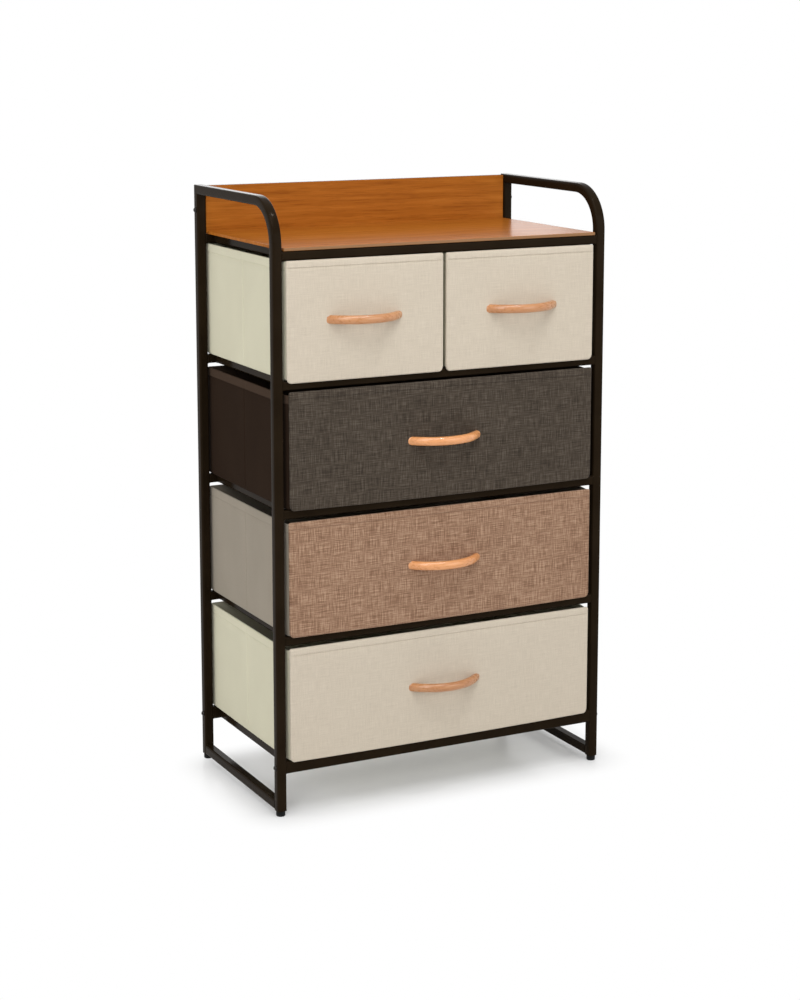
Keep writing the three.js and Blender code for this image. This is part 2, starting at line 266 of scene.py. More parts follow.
# Lamps: name, place, what it points at, width, height and power in watts; and the world's light
LAMPS = (
    ("key", (-2.4, -3.0, 2.2), (0, 0, 0.5), 1.6, 1.6, 38),
    ("canopy", (-0.3, -1.5, 3.0), (0, -0.1, 0.5), 1.8, 1.2, 30),
    ("front_fill", (1.6, -3.2, 1.5), (0, 0, 0.5), 2.2, 2.0, 25),
    ("left_fill", (-3.2, 0.4, 1.3), (0, 0, 0.5), 1.8, 2.0, 33),
    ("top", (0.2, 0.1, 3.0), (0, 0, 0), 2.6, 2.2, 5),
    ("glint", (0.55, -0.65, 2.9), (0, 0, 0.8), 0.15, 0.15, 7),
    ("back_fill", (1.0, 3.0, 2.2), (0, 0, 0.4), 2.2, 2.0, 24),
)
WORLD_LIGHT = 0.3

# Camera that the photograph's edges were matched with
CAMERA_YAW = math.radians(27.03)
CAMERA_PITCH = math.radians(9.461)
CAMERA_PLACE = (-1.61707, -3.15414, 1.26302)
CAMERA_LENS = 76.692
CAMERA_SENSOR = 36
CAMERA_SHIFT = -0.12
CAMERA_CLIP_END = 60

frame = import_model()


def smooth_step(value):
    value = min(max(value, 0.0), 1.0)
    return value * value * (3 - 2 * value)


def make_mesh(name, verts, faces, material, uvs=None, smooth=True):
    mesh = bpy.data.meshes.new(name)
    mesh.from_pydata([tuple(v) for v in verts], [], faces)
    if uvs is not None:
        layer = mesh.uv_layers.new(name="cloth")
        for loop in mesh.loops:
            layer.data[loop.index].uv = uvs[loop.vertex_index]
    for polygon in mesh.polygons:
        polygon.use_smooth = smooth
    mesh.validate()
    mesh.update()
    piece = bpy.data.objects.new(name, mesh)
    bpy.context.scene.collection.objects.link(piece)
    mesh.materials.append(material)
    return piece


def place(piece, body, nodes=()):
    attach(piece, body)
    if nodes:
        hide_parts(*nodes)


def sharpen(piece, degrees):
    piece.data.set_sharp_from_angle(angle=math.radians(degrees))


def ripple(first, second, seed, scales):
    """Smooth waves over a surface, with their own pattern for each seed."""
    return noise.noise(Vector((first * scales[0], second * scales[1], seed * scales[2])))


def raised(pairs, base):
    """(inset, height) pairs from (inset, rise) pairs over a base height."""
    return [(inset, base + rise) for inset, rise in pairs]


def turns(count):
    """Angles in equal steps all the way round."""
    return [index / count * 2 * math.pi for index in range(count)]


def squared_circle(angle, power):
    """Place at an angle on a circle of radius 1 that a higher power makes squarer."""
    across, up = math.cos(angle), math.sin(angle)
    size = (abs(across) ** power + abs(up) ** power) ** (1 / power)
    return across / size, up / size


def append_part(verts, faces, part_verts, part_faces):
    """Adds one part's vertices and faces to the lists of a piece made of several."""
    start = len(verts)
    verts.extend(part_verts)
    faces.extend(tuple(start + index for index in face) for face in part_faces)


# Materials


class Look:
    """One procedural material; its methods add nodes and link them."""

    def __init__(self, name):
        self.material = bpy.data.materials.new(name)
        self.material.use_nodes = True
        self.tree = self.material.node_tree
        self.shader = self.tree.nodes["Principled BSDF"]

    def add(self, kind, **settings):
        node = self.tree.nodes.new(kind)
        for key, value in settings.items():
            setattr(node, key, value)
        return node

    def link(self, source, target):
        self.tree.links.new(source, target)

    def feed(self, value, target):
        if isinstance(value, (int, float, tuple)):
            target.default_value = value
        else:
            self.link(value, target)

    def surface(self, name, value):
        """Sets an input of the surface to a value or to what another node gives."""
        self.feed(value, self.shader.inputs[name])

    def math(self, operation, first, second=0.0):
        node = self.add("ShaderNodeMath", operation=operation)
        for value, target in zip((first, second), node.inputs):
            self.feed(value, target)
        return node.outputs[0]

    def weighted(self, first, first_share, second, second_share):
        first_part = self.math("MULTIPLY", first, first_share)
        return self.math("ADD", first_part, self.math("MULTIPLY", second, second_share))

    def coordinates(self, kind="Object"):
        if kind == "cloth":
            return self.add("ShaderNodeUVMap", uv_map="cloth").outputs[0]
        return self.add("ShaderNodeTexCoord").outputs[kind]

    def scaled(self, source, scale, offset=(0, 0, 0)):
        node = self.add("ShaderNodeMapping")
        self.link(source, node.inputs["Vector"])
        node.inputs["Scale"].default_value = scale
        node.inputs["Location"].default_value = offset
        return node.outputs[0]

    def noise(self, source, scale=1.0, detail=3.0, rough=0.5, distort=0.0):
        node = self.add("ShaderNodeTexNoise")
        self.link(source, node.inputs["Vector"])
        node.inputs["Scale"].default_value = scale
        node.inputs["Detail"].default_value = detail
        node.inputs["Roughness"].default_value = rough
        node.inputs["Distortion"].default_value = distort
        return node.outputs["Fac"]

    def ramp(self, factor, stops):
        node = self.add("ShaderNodeValToRGB")
        elements = node.color_ramp.elements
        while len(elements) < len(stops):
            elements.new(0.5)
        for element, (position, color) in zip(elements, stops):
            element.position = position
            element.color = (*color, 1)
        self.link(factor, node.inputs[0])
        return node.outputs[0]

    def mix(self, factor, first, second, blend="MIX"):
        node = self.add("ShaderNodeMix", data_type="RGBA", blend_type=blend)
        self.feed(factor, node.inputs[0])
        for value, target in ((first, node.inputs[6]), (second, node.inputs[7])):
            if isinstance(value, tuple):
                target.default_value = (*value, 1)
            else:
                self.link(value, target)
        return node.outputs[2]

    def spread(self, factor, low, high):
        node = self.add("ShaderNodeMapRange")
        self.link(factor, node.inputs["Value"])
        node.inputs["To Min"].default_value = low
        node.inputs["To Max"].default_value = high
        return node.outputs[0]

    def bump(self, height, distance, strength):
        node = self.add("ShaderNodeBump")
        self.link(height, node.inputs["Height"])
        node.inputs["Distance"].default_value = distance
        node.inputs["Strength"].default_value = strength
        return node.outputs[0]


def weave(name, dark, base, light, contrast, sheen, gloss):
    """Plain weave with thick and thin yarns, whose colour is painted lighter on the threads' tops and
    darker in the hollows between them, as light and shade. The cloth's map is in metres, so the
    threads keep their real size on every piece."""
    look = Look(name)
    cloth = look.coordinates("cloth")
    split = look.add("ShaderNodeSeparateXYZ")
    look.link(cloth, split.inputs[0])
    wobble = look.noise(look.scaled(cloth, (60, 60, 60)), detail=2.0)
    shift = look.math("MULTIPLY", look.math("SUBTRACT", wobble, 0.5), 0.9)
    across = look.math("ADD", look.math("MULTIPLY", split.outputs[0], 1 / YARN_PITCH), shift)
    along = look.math("ADD", look.math("MULTIPLY", split.outputs[1], 1 / YARN_PITCH), shift)
    warp = look.math("SINE", look.math("MULTIPLY", across, math.pi))
    weft = look.math("SINE", look.math("MULTIPLY", along, math.pi))
    over = look.math("GREATER_THAN", look.math("MULTIPLY", warp, weft), 0.0)
    warp_round = look.math("ABSOLUTE", warp)
    weft_round = look.math("ABSOLUTE", weft)
    low = look.math("MULTIPLY", look.math("MINIMUM", warp_round, weft_round), 0.5)
    top = look.math("MULTIPLY", over, warp_round)
    side = look.math("MULTIPLY", look.math("SUBTRACT", 1.0, over), weft_round)
    thread = look.math("ADD", look.math("MULTIPLY", look.math("ADD", top, side), 0.7), low)

    warp_slubs = look.noise(look.scaled(cloth, (34, 760, 1)), detail=2.5, rough=0.6)
    weft_slubs = look.noise(look.scaled(cloth, (760, 40, 1), (3, 7, 0)), detail=2.5, rough=0.6)
    patches = look.noise(look.scaled(cloth, (9, 9, 1)), detail=2.0)
    slubs = look.weighted(warp_slubs, 0.5, weft_slubs, 0.5)
    tone = look.math("ADD", slubs, look.math("MULTIPLY", look.math("SUBTRACT", patches, 0.5), 0.06))
    color = look.ramp(tone, ((0.5 - contrast, dark), (0.5, base), (0.5 + contrast, light)))
    # Painted light and shade: thread tops are coloured up to 7 % lighter, the hollows between threads up
    # to 14 % darker
    painted_thread_shade = look.spread(thread, 0.86, 1.07)
    painted_shade_gray = look.add("ShaderNodeCombineColor")
    for socket in painted_shade_gray.inputs:
        look.link(painted_thread_shade, socket)
    look.surface("Base Color", look.mix(1.0, color, painted_shade_gray.outputs[0], "MULTIPLY"))
    look.surface("Roughness", look.spread(thread, 0.95, 0.82))
    height = look.math("ADD", thread, look.math("MULTIPLY", slubs, 1.4))
    look.surface("Normal", look.bump(height, YARN_DEPTH, 0.8))
    look.surface("Sheen Weight", sheen)
    look.surface("Sheen Roughness", 0.6)
    look.surface("Specular IOR Level", gloss)
    return look.material


def non_woven(name, dark, light, sheen, gloss, band=1.0):
    """Pressed cloth with fine vertical ribs and a fibrous surface; band is how much paler its rim
    is than the rest."""
    look = Look(name)
    cloth = look.coordinates("cloth")
    split = look.add("ShaderNodeSeparateXYZ")
    look.link(cloth, split.inputs[0])
    rib_turns = look.math("MULTIPLY", split.outputs[0], 2 * math.pi / RIB_PITCH)
    rib = look.math("ADD", look.math("MULTIPLY", look.math("SINE", rib_turns), 0.5), 0.5)
    fibre = look.noise(look.scaled(cloth, (900, 420, 1)), detail=3.0, rough=0.65)
    patches = look.noise(look.scaled(cloth, (11, 7, 1)), detail=2.0)
    tone = look.weighted(fibre, 0.55, patches, 0.45)
    color = look.ramp(tone, ((0.3, dark), (0.7, light)))
    if band > 1:
        above = look.add("ShaderNodeMapRange", interpolation_type="SMOOTHSTEP")
        look.link(split.outputs[1], above.inputs["Value"])
        above.inputs["From Min"].default_value = BAND_START
        above.inputs["From Max"].default_value = BAND_START + BAND_BLEND
        paler = tuple((channel + 0.003) * band for channel in light)
        color = look.mix(above.outputs["Result"], color, paler)
    look.surface("Base Color", color)
    height = look.math("ADD", look.math("MULTIPLY", rib, 0.35), fibre)
    look.surface("Normal", look.bump(height, RIB_DEPTH, 0.7))
    look.surface("Roughness", look.spread(fibre, *PRESSED_ROUGHNESS))
    look.surface("Specular IOR Level", gloss)
    look.surface("Sheen Weight", sheen)
    return look.material


def powder_coat():
    look = Look("powder_coat")
    place_at = look.coordinates()
    grain = look.noise(place_at, scale=1400, detail=2.0)
    cloud = look.noise(place_at, scale=14, detail=3.0)
    color = look.ramp(cloud, ((0.3, (0.0130, 0.0079, 0.0040)), (0.7, (0.0188, 0.0119, 0.0062))))
    look.surface("Base Color", color)
    look.surface("Roughness", look.spread(cloud, 0.13, 0.18))
    look.surface("Normal", look.bump(grain, 0.03 * MM, 0.15))
    look.surface("Specular IOR Level", 0.022)
    look.surface("Specular Tint", (1, 0.88, 0.75, 1))
    return look.material


def black_steel():
    look = Look("black_steel")
    place_at = look.coordinates()
    cloud = look.noise(place_at, scale=300, detail=3.0)
    color = look.ramp(cloud, ((0.3, (0.012, 0.010, 0.009)), (0.7, (0.025, 0.021, 0.018))))
    look.surface("Base Color", color)
    look.surface("Roughness", look.spread(cloud, 0.26, 0.4))
    look.surface("Metallic", 0.6)
    return look.material


def foot_plastic():
    look = Look("foot_plastic")
    place_at = look.coordinates()
    grain = look.noise(place_at, scale=900, detail=2.0)
    look.surface("Base Color", look.ramp(grain, ((0.3, (0.006,) * 3), (0.7, (0.012,) * 3))))
    look.surface("Roughness", look.spread(grain, 0.4, 0.5))
    look.surface("Specular IOR Level", 0.1)
    look.surface("Normal", look.bump(grain, 0.05 * MM, 0.5))
    return look.material


def board_wood(name, edge_axis, edge_sign, edge_color):
    """Honey-coloured veneer with its grain along X; the faces that face one way get one flat colour:
    the shelf's front edge a paler, greyer one that is partly a painted highlight, and the
    backboard's top edge a darker one."""
    look = Look(name)
    place_at = look.coordinates()
    drift = look.noise(look.scaled(place_at, (1.6, 9, 9)), detail=3.0)
    streaks = look.noise(look.scaled(place_at, (5, 150, 150)), detail=5.0, rough=0.62, distort=0.4)
    pores = look.noise(look.scaled(place_at, (26, 900, 900)), detail=2.0, rough=0.6)
    tone = look.weighted(drift, 0.25, streaks, 0.75)
    color = look.ramp(
        tone,
        (
            (0.3, (0.27, 0.080, 0.0090)),
            (0.44, (0.365, 0.113, 0.0135)),
            (0.56, (0.425, 0.138, 0.018)),
            (0.7, (0.48, 0.170, 0.026)),
        ),
    )
    pore = look.ramp(pores, ((0.36, (0.62, 0.56, 0.5)), (0.46, (1, 1, 1))))
    veneer = look.mix(0.55, color, pore, "MULTIPLY")
    split = look.add("ShaderNodeSeparateXYZ")
    look.link(look.coordinates("Normal"), split.inputs[0])
    facing = look.math("MULTIPLY", split.outputs[edge_axis], edge_sign)
    edge = look.math("GREATER_THAN", facing, 0.4)
    # Faces that face one way take edge_color: paler on the shelf's front edge, partly as a painted
    # highlight, and darker on the backboard's top edge
    look.surface("Base Color", look.mix(edge, veneer, edge_color))
    look.surface("Roughness", look.spread(streaks, 0.2, 0.26))
    look.surface("Normal", look.bump(pores, 0.03 * MM, 0.3))
    look.surface("Specular IOR Level", 0.02)
    return look.material


def handle_wood(name, tone_and_highlight_share):
    look = Look(name)
    place_at = look.coordinates()
    streaks = look.noise(look.scaled(place_at, (12, 260, 260)), detail=4.0, rough=0.6, distort=0.3)
    cloud = look.noise(look.scaled(place_at, (9, 40, 40)), detail=2.0)
    tone = look.weighted(streaks, 0.6, cloud, 0.4)
    stops = ((0.3, (0.47, 0.19, 0.065)), (0.5, (0.56, 0.24, 0.087)), (0.7, (0.65, 0.31, 0.126)))
    # The share scales the wood's colours; the high shares on the charcoal and tweed handles are partly a
    # painted highlight
    toned = [(at, tuple(channel * tone_and_highlight_share for channel in color)) for at, color in stops]
    color = look.ramp(tone, toned)
    look.surface("Base Color", color)
    look.surface("Roughness", look.spread(streaks, 0.22, 0.34))
    look.surface("Normal", look.bump(streaks, 0.05 * MM, 0.3))
    look.surface("Coat Weight", 0.45)
    look.surface("Coat Roughness", 0.1)
    return look.material


def fibreboard():
    look = Look("fibreboard")
    place_at = look.coordinates()
    fibre = look.noise(look.scaled(place_at, (300, 300, 300)), detail=4.0, rough=0.7)
    patches = look.noise(look.scaled(place_at, (12, 12, 12)), detail=2.0)
    tone = look.weighted(fibre, 0.6, patches, 0.4)
    color = look.ramp(tone, ((0.3, (0.20, 0.145, 0.10)), (0.7, (0.34, 0.265, 0.19))))
    look.surface("Base Color", color)
    look.surface("Roughness", look.spread(fibre, 0.75, 0.92))
    look.surface("Normal", look.bump(fibre, 0.1 * MM, 0.6))
    return look.material


def thread(name, color):
    look = Look(name)
    place_at = look.coordinates()
    twist = look.noise(place_at, scale=2200, detail=1.0)
    darker = tuple(channel * 0.72 for channel in color)
    look.surface("Base Color", look.ramp(twist, ((0.3, darker), (0.7, color))))
    look.surface("Normal", look.bump(twist, 0.05 * MM, 0.6))
    look.surface("Roughness", 0.8)
    return look.material


MATERIALS = {
    "cream": weave(
        "cream_linen", (0.56, 0.485, 0.385), (0.63, 0.55, 0.44), (0.70, 0.62, 0.505), 0.22, 0.12, 0.2
    ),
    "charcoal": weave(
        "charcoal_linen",
        (0.034, 0.026, 0.019),
        (0.064, 0.049, 0.036),
        (0.118, 0.096, 0.075),
        0.12,
        0.03,
        0.1,
    ),
    "tweed": weave(
        "tweed", (0.19, 0.098, 0.056), (0.32, 0.187, 0.116), (0.50, 0.325, 0.215), 0.115, 0.08, 0.12
    ),
    "cream_side": non_woven("cream_side", (0.57, 0.54, 0.405), (0.64, 0.61, 0.46), 0.05, 0.15),
    "charcoal_side": non_woven(
        "charcoal_side", (0.018, 0.0105, 0.007), (0.027, 0.0165, 0.0105), 0.0, 0.02, 1.8
    ),
    "taupe_side": non_woven("taupe_side", (0.255, 0.222, 0.175), (0.325, 0.282, 0.225), 0.05, 0.12),
    "coat": powder_coat(),
    "bolt": black_steel(),
    "foot": foot_plastic(),
    "shelf": board_wood("shelf_wood", "Y", -1, (0.31, 0.165, 0.08)),
    "backboard": board_wood("backboard_wood", "Z", 1, (0.04, 0.018, 0.008)),
    "fibre": fibreboard(),
    "cream_thread": thread("cream_thread", (0.60, 0.53, 0.42)),
    "charcoal_thread": thread("charcoal_thread", (0.07, 0.056, 0.044)),
    "tweed_thread": thread("tweed_thread", (0.36, 0.22, 0.145)),
}
MATERIALS.update(
    {name: handle_wood(f"{name}_wood", fit.tone_and_highlight_share) for name, *_, fit in DRAWERS}
)


def repaint(node, material):
    piece = frame["nodes"][node]
    piece.data.materials.clear()
    piece.data.materials.append(MATERIALS[material])


# Outlines and tubes


def rounded_square(half, corner, steps):
    """Points of a rounded square, counter-clockwise, centred on zero."""
    points = []
    for quarter in range(4):
        middle = (quarter + 0.5) * math.pi / 2
        centre_x = (half - corner) * (1 if math.cos(middle) > 0 else -1)
        centre_y = (half - corner) * (1 if math.sin(middle) > 0 else -1)
        for step in range(steps + 1):
            angle = (quarter + step / steps) * math.pi / 2
            x = centre_x + corner * math.cos(angle)
            points.append((x, centre_y + corner * math.sin(angle)))
    return points


def stitch_rings(rings, closed_ends=True):
    """Faces between equal closed rings of vertices given one after the other."""
    count = len(rings[0])
    verts = [vertex for ring in rings for vertex in ring]
    faces = []
    for index in range(len(rings) - 1):
        start = index * count
        for side in range(count):
            following = (side + 1) % count
            lower = start + side
            faces.append((lower, start + following, start + count + following, lower + count))
    if closed_ends:
        faces.append(tuple(reversed(range(count))))
        last = (len(rings) - 1) * count
        faces.append(tuple(range(last, last + count)))
    return verts, faces


def guard_post(side):
    """Guard rail, bend and front post as one smooth tube, with a mitred rear end."""
    node = f"{side}_guard_post"
    low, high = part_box(node)
    half = TUBE / 2
    rear_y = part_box(f"{side}_rear_post")[1][1] - half - MITRE_GAP
    x = (low[0] + high[0]) / 2
    rail_z = high[2] - half
    post_y = low[1] + half
    bend = GUARD_BEND - half
    section = rounded_square(half, TUBE_CORNER, TUBE_CORNER_STEPS)
    # Each section point is (across X, outwards from the bend's centre)
    rings = [[(x + across, rear_y + outward, rail_z + outward) for across, outward in section]]
    for step in range(GUARD_BEND_STEPS + 1):
        angle = step / GUARD_BEND_STEPS * math.pi / 2
        ring = []
        for across, outward in section:
            reach = bend + outward
            y = post_y + bend - reach * math.sin(angle)
            z = rail_z - bend + reach * math.cos(angle)
            ring.append((x + across, y, z))
        rings.append(ring)
    rings.append([(x + across, post_y - outward, low[2]) for across, outward in section])
    verts, faces = stitch_rings(rings)
    piece = make_mesh(f"{side}_guard_tube", verts, faces, MATERIALS["coat"])
    sharpen(piece, 50)
    place(piece, FRAME, (node,))


def lathe(profile, sides):
    """Rings about +Z from (radius, height) pairs; both ends lie on the axis."""
    verts = [(0, 0, profile[0][1])]
    faces = []
    for radius, height in profile[1:-1]:
        for angle in turns(sides):
            verts.append((radius * math.cos(angle), radius * math.sin(angle), height))
    verts.append((0, 0, profile[-1][1]))
    rows = len(profile) - 2
    for side in range(sides):
        following = (side + 1) % sides
        faces.append((0, 1 + following, 1 + side))
        for row in range(rows - 1):
            start = 1 + row * sides
            above = start + sides
            faces.append((start + side, start + following, above + following, above + side))
        start = 1 + (rows - 1) * sides
        faces.append((start + side, start + following, len(verts) - 1))
    return verts, faces


def domed_profile(radius, height):
    """Half outline of a domed head whose flat side is at height zero."""
    edge = height * DOME_EDGE_SHARE
    foot_radius = radius * DOME_FOOT_SHARE
    profile = [(0, 0), (foot_radius, 0), (radius, edge * DOME_FOOT_RISE_SHARE), (radius, edge)]
    for step in range(1, DOME_STEPS):
        angle = step / DOME_STEPS * math.pi / 2
        profile.append((radius * math.cos(angle), edge + (height - edge) * math.sin(angle)))
    return profile


def hex_socket(profile, height):
    """Ends a domed profile in a socket; its ring near the axis is squeezed to a hexagon."""
    clear = HEX_RADIUS * HEX_CLEAR_SHARE
    top = [point for point in profile if point[0] > clear or point[1] < height / 3]
    return top + [
        (HEX_RADIUS * HEX_MOUTH_SHARE, height),
        (HEX_RADIUS, height - HEX_LIP),
        (HEX_RADIUS, height - HEX_DEPTH),
        (0, height - HEX_DEPTH),
    ]


def hexagonal(x, y, height, limit):
    """Moves a socket point from its circle to the hexagon inside it."""
    radius = math.hypot(x, y)
    if height < limit or radius > HEX_RADIUS * HEX_LIMIT_SHARE or radius == 0:
        return x, y
    sector = math.radians(60)
    angle = math.atan2(y, x) % sector - sector / 2
    squeeze = math.cos(sector / 2) / math.cos(angle)
    return x * squeeze, y * squeeze


def bolt(node, sign):
    low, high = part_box(node)
    base = (low[0] if sign > 0 else high[0]) - sign * BOLT_SINK
    centre_y, centre_z = (low[1] + high[1]) / 2, (low[2] + high[2]) / 2
    head = hex_socket(domed_profile(BOLT_RADIUS, BOLT_HEIGHT), BOLT_HEIGHT)
    verts, faces = lathe(head, BOLT_SIDES)
    turned = []
    for x, y, z in verts:
        x, y = hexagonal(x, y, z, BOLT_HEIGHT / 3)
        turned.append((base + sign * z, centre_y + sign * x, centre_z + y))
    piece = make_mesh(f"{node}_head", turned, faces, MATERIALS["bolt"])
    sharpen(piece, 40)
    place(piece, FRAME, (node,))


def foot(node):
    low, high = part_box(node)
    centre_x, centre_y = (low[0] + high[0]) / 2, (low[1] + high[1]) / 2
    radius = (high[0] - low[0]) / 2
    outline = raised(FOOT_EDGE, low[2]) + raised(FOOT_GROOVE, high[2])
    profile = [(radius - inset, height) for inset, height in outline]
    verts, faces = lathe([(0, low[2]), *profile, (0, high[2])], FOOT_SIDES)
    verts = [(centre_x + x, centre_y + y, z) for x, y, z in verts]
    piece = make_mesh(f"{node}_glide", verts, faces, MATERIALS["foot"])
    sharpen(piece, 40)
    place(piece, FRAME, (node,))


def weld_ring(centre, normal, half_across, half_up, across, up, seed):
    """Thin bead around a rail's end, half sunk into both tubes."""
    seed_scale, step_scale = WELD_RIPPLE_SCALES
    rings = []
    for step, angle in enumerate(turns(WELD_STEPS)):
        to_side, to_top = squared_circle(angle, WELD_SQUARENESS)
        point = centre + across * (to_side * half_across) + up * (to_top * half_up)
        outward = (across * to_side * half_up + up * to_top * half_across).normalized()
        spot = Vector((seed * seed_scale, step * step_scale, 0.5))
        radius = WELD_RADIUS + noise.noise(spot) * WELD_RIPPLE
        ring = []
        for turn in turns(WELD_SIDES):
            ring.append(point + outward * (radius * math.cos(turn)) + normal * (radius * math.sin(turn)))
        rings.append(ring)
    verts, faces = stitch_rings(rings, closed_ends=False)
    start = (WELD_STEPS - 1) * WELD_SIDES
    for side in range(WELD_SIDES):
        following = (side + 1) % WELD_SIDES
        faces.append((start + side, start + following, following, side))
    return verts, faces


def welds():
    verts = []
    faces = []
    seed = 0
    along_x = Vector((1, 0, 0))
    along_y = Vector((0, 1, 0))
    along_z = Vector((0, 0, 1))
    for level in ("shelf", "tier_1", "tier_2", "tier_3", "tier_4"):
        for side in ("front", "rear", "left", "right"):
            low, high = (Vector(corner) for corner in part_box(f"{level}_{side}_rail"))
            middle = (low + high) / 2
            half = (high - low) / 2
            axis, other = (along_x, along_y) if side in ("front", "rear") else (along_y, along_x)
            reach = half.x if axis is along_x else half.y
            wide = (half.y if axis is along_x else half.x) - WELD_SINK
            for sign in (-1, 1):
                seed += 1
                end = middle + axis * (sign * reach)
                ring = weld_ring(end, axis, wide, half.z - WELD_SINK, other, along_z, seed)
                append_part(verts, faces, *ring)
    place(make_mesh("frame_welds", verts, faces, MATERIALS["coat"]), FRAME)


# Cloth bins


def wall_samples(length, creased):
    """Places along a straight wall, closer together at the crease in its middle."""
    steps = max(2, round(length / BIN_STEP))
    places = {round(length * step / steps, 6) for step in range(steps + 1)}
    if creased:
        crease = length / 2
        reach = CREASE_REACH_SHARE * CREASE_HALF_WIDTH
        places = {at for at in places if abs(at - crease) >= reach or not 0 < at < length}
        places.update(round(crease + share * CREASE_HALF_WIDTH, 6) for share in CREASE_SHARES)
    return sorted(places)


def bin_perimeter(width, depth):
    """Points round a bin, whose side walls are creased: place, outward direction, distance along,
    wall share and crease strength."""
    corner = BIN_CORNER
    long, deep = width - 2 * corner, depth - 2 * corner
    points = []
    along = 0.0
    walls = (
        (Vector((-width / 2 + corner, -depth / 2)), Vector((1, 0)), long, False),
        (Vector((width / 2, -depth / 2 + corner)), Vector((0, 1)), deep, True),
        (Vector((width / 2 - corner, depth / 2)), Vector((-1, 0)), long, False),
        (Vector((-width / 2, depth / 2 - corner)), Vector((0, -1)), deep, True),
    )
    for start, direction, length, creased in walls:
        outward = Vector((direction.y, -direction.x))
        for place_at in wall_samples(length, creased):
            fold = math.exp(-(((place_at - length / 2) / CREASE_HALF_WIDTH) ** 2)) if creased else 0
            at = start + direction * place_at
            points.append((at, outward, along + place_at, place_at / length, fold))
        along += length
        end = start + direction * length
        centre = end - outward * corner
        for step in range(1, BIN_ROUND_STEPS):
            angle = step / BIN_ROUND_STEPS * math.pi / 2
            turned = outward * math.cos(angle) + direction * math.sin(angle)
            arc = corner * angle
            points.append((centre + turned * corner, turned, along + arc, 0.0, 0.0))
        along += corner * math.pi / 2
    return points


def bin_levels(height):
    """(inset, height) pairs from the outside floor over the rim to the inside floor."""
    levels = []
    for step in range(BIN_ROUND_STEPS + 1):
        angle = step / BIN_ROUND_STEPS * math.pi / 2
        levels.append((BIN_EDGE * (1 - math.sin(angle)), BIN_EDGE * (1 - math.cos(angle))))
    seam = height - BINDING_HEIGHT
    wall = seam - SEAM_CLEARANCE - BIN_EDGE
    levels += [(0, BIN_EDGE + wall * row / BIN_ROWS) for row in range(1, BIN_ROWS)]
    levels += raised(SEAM_OUTSIDE, seam) + raised(RIM, height) + raised(SEAM_INSIDE, seam)
    inner = seam - BIN_FLOOR - INNER_FLOOR_CLEARANCE
    levels += [(BIN_WALL, seam - inner * row / BIN_INNER_ROWS) for row in range(1, BIN_INNER_ROWS)]
    levels += raised(FLOOR_INSIDE, BIN_FLOOR)
    return levels


def kept_inside(value, limit):
    """Pulls a place back to the limit on its own side, with a trace of its spacing kept."""
    over = abs(value) - limit
    return value if over <= 0 else math.copysign(limit + over * INNER_SPACING_SHARE, value)


def cloth_bin(name, cloth, drop, seed):
    node = f"{name}_bin"
    low, high = (Vector(corner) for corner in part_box(node))
    size = high - low
    size.z -= drop
    centre = (low + high) / 2
    round_trip = bin_perimeter(size.x, size.y)
    rings = []
    uvs = []
    run = 0.0
    last = None
    for inset, level in bin_levels(size.z):
        if last is not None:
            run += math.hypot(inset - last[0], level - last[1])
        last = (inset, level)
        up = smooth_step((level - BIN_EDGE) / BIN_PILLOW_FOOT_FADE)
        up *= smooth_step((size.z - level) / BIN_PILLOW_RIM_FADE)
        ring = []
        for at, outward, along, share, fold in round_trip:
            bulge = BIN_PILLOW * max(math.sin(math.pi * share), 0.0) ** BIN_PILLOW_POWER * up
            wave = BIN_WAVE * up * ripple(along, level, seed, BIN_WAVE_SCALES)
            groove = CREASE_DEPTH * fold * smooth_step((level - CREASE_MARGIN) / CREASE_FOOT_FADE)
            groove *= smooth_step((size.z - level - CREASE_MARGIN) / CREASE_RIM_FADE)
            push = bulge + wave - groove
            if inset > INNER_START:
                push = wave + min(bulge, INNER_BULGE) - groove * INNER_CREASE_SHARE
            spot = at + outward * (push - inset)
            if inset > BIN_CORNER:
                spot.x = kept_inside(spot.x, size.x / 2 - inset + push)
                spot.y = kept_inside(spot.y, size.y / 2 - inset + push)
            from_front = (spot.y + size.y / 2) / FRONT_DRAW_DEPTH
            draw = LEFT_DRAW if spot.x < 0 else RIGHT_DRAW
            spot.x *= 1 - draw / (size.x / 2) * (1 - smooth_step(from_front))
            ring.append((centre.x + spot.x, centre.y + spot.y, low.z + level))
            uvs.append((along, run))
        rings.append(ring)
    verts, faces = stitch_rings(rings)
    piece = make_mesh(f"{name}_cloth_bin", verts, faces, MATERIALS[cloth], uvs)
    sharpen(piece, 60)
    place(piece, name, (node,))


# Cloth-covered fronts


def panel_places(low, high, step, marks):
    """Sorted places from low to high, about one step apart, with the marks among them."""
    count = max(2, round((high - low) / step))
    places = [low + (high - low) * index / count for index in range(count + 1)]
    clear = step * PANEL_MARK_SHARE
    places = [at for at in places if all(abs(at - mark) > clear for mark in marks)]
    return sorted(set(places) | set(marks))


def edge_marks(low, high, edge):
    inward = [edge * share for share in PANEL_EDGE_SHARES]
    return [low + step for step in inward] + [high - step for step in inward]


def quarter_round(share):
    """0 at an edge, 1 from a full share on, along a quarter circle in between."""
    share = min(max(share, 0.0), 1.0)
    return math.sqrt(max(1 - (1 - share) ** 2, 0.0))


def side_draw(level, low, high):
    """How far the outline draws in from the side near the panel's rounded corners."""
    for distance, corner in ((level - low, PANEL_FOOT_CORNER), (high - level, PANEL_TOP_CORNER)):
        if distance < corner:
            return corner - math.sqrt(max(corner**2 - (corner - distance) ** 2, 0.0))
    return 0.0


